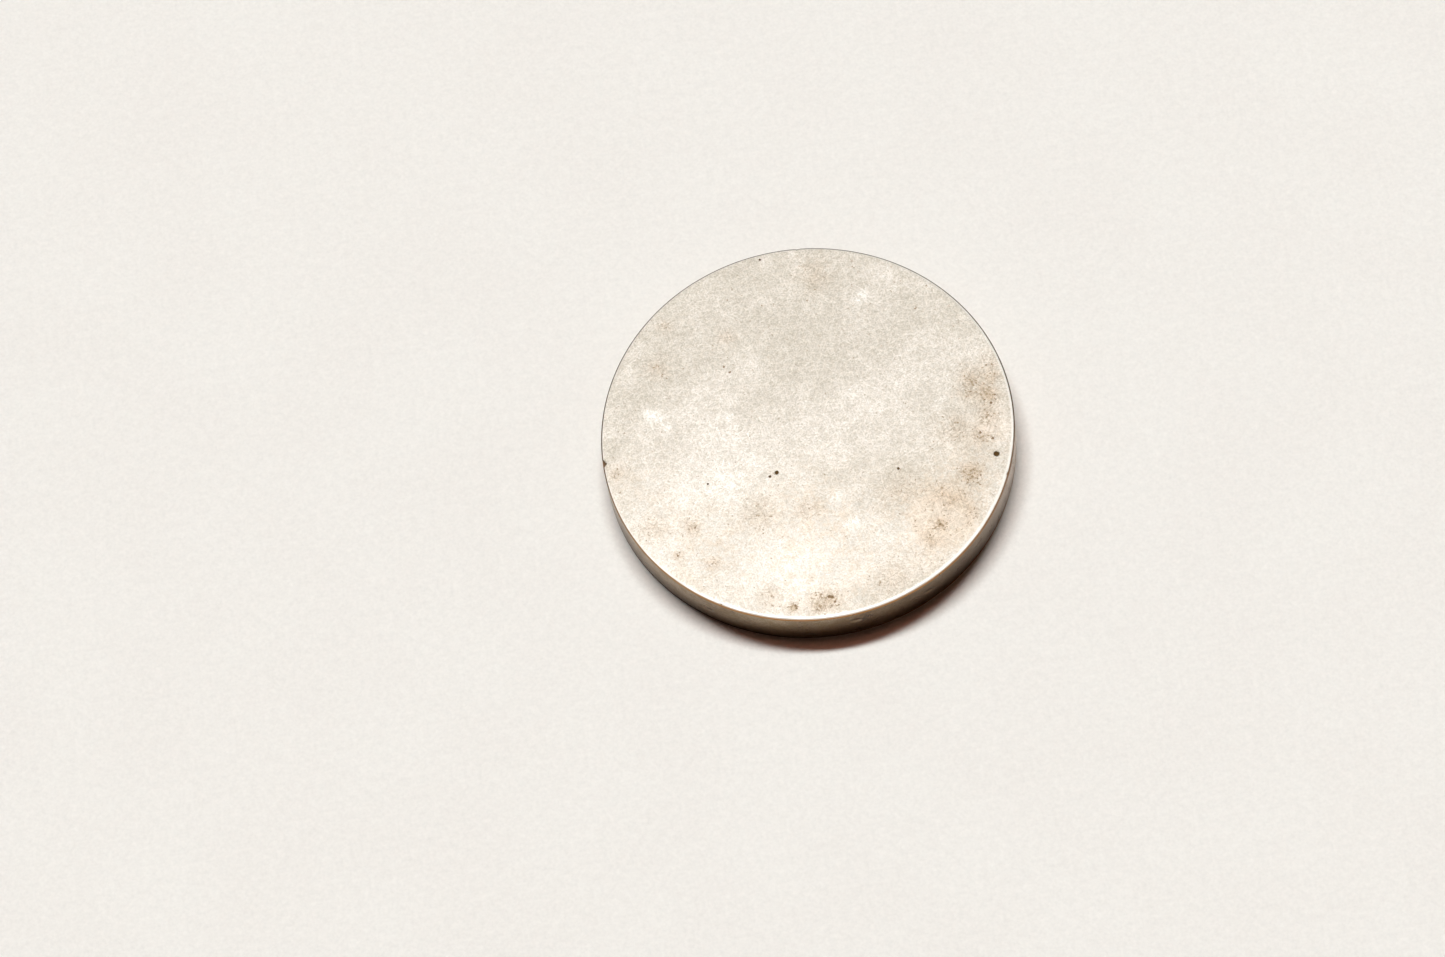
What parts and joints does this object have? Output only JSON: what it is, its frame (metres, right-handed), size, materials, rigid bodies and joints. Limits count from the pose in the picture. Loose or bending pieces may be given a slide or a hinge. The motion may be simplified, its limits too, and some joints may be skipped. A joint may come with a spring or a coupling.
{
  "type": "dealer button",
  "caption": "Plain round metal dealer button: a steel core with a thin satin metal facing bonded to each side, laid flat on a card table to mark the dealer.",
  "frame": {"origin": "centre of the lower face, where the button rests on the table", "axes": "+Z along the disc's axis, out of the upper face; X and Y lie in the table and have no marked direction on a plain disc"},
  "size_m": [0.04, 0.04, 0.0044],
  "materials": {
    "facing_metal": "satin",
    "core_steel": "satin",
    "bond_film": "matte"
  },
  "bodies": {
    "root": {"upper_face_plate": "facing_metal", "upper_bond_film": "bond_film", "core_disc": "core_steel", "lower_bond_film": "bond_film", "lower_face_plate": "facing_metal"}
  },
  "joints": []
}
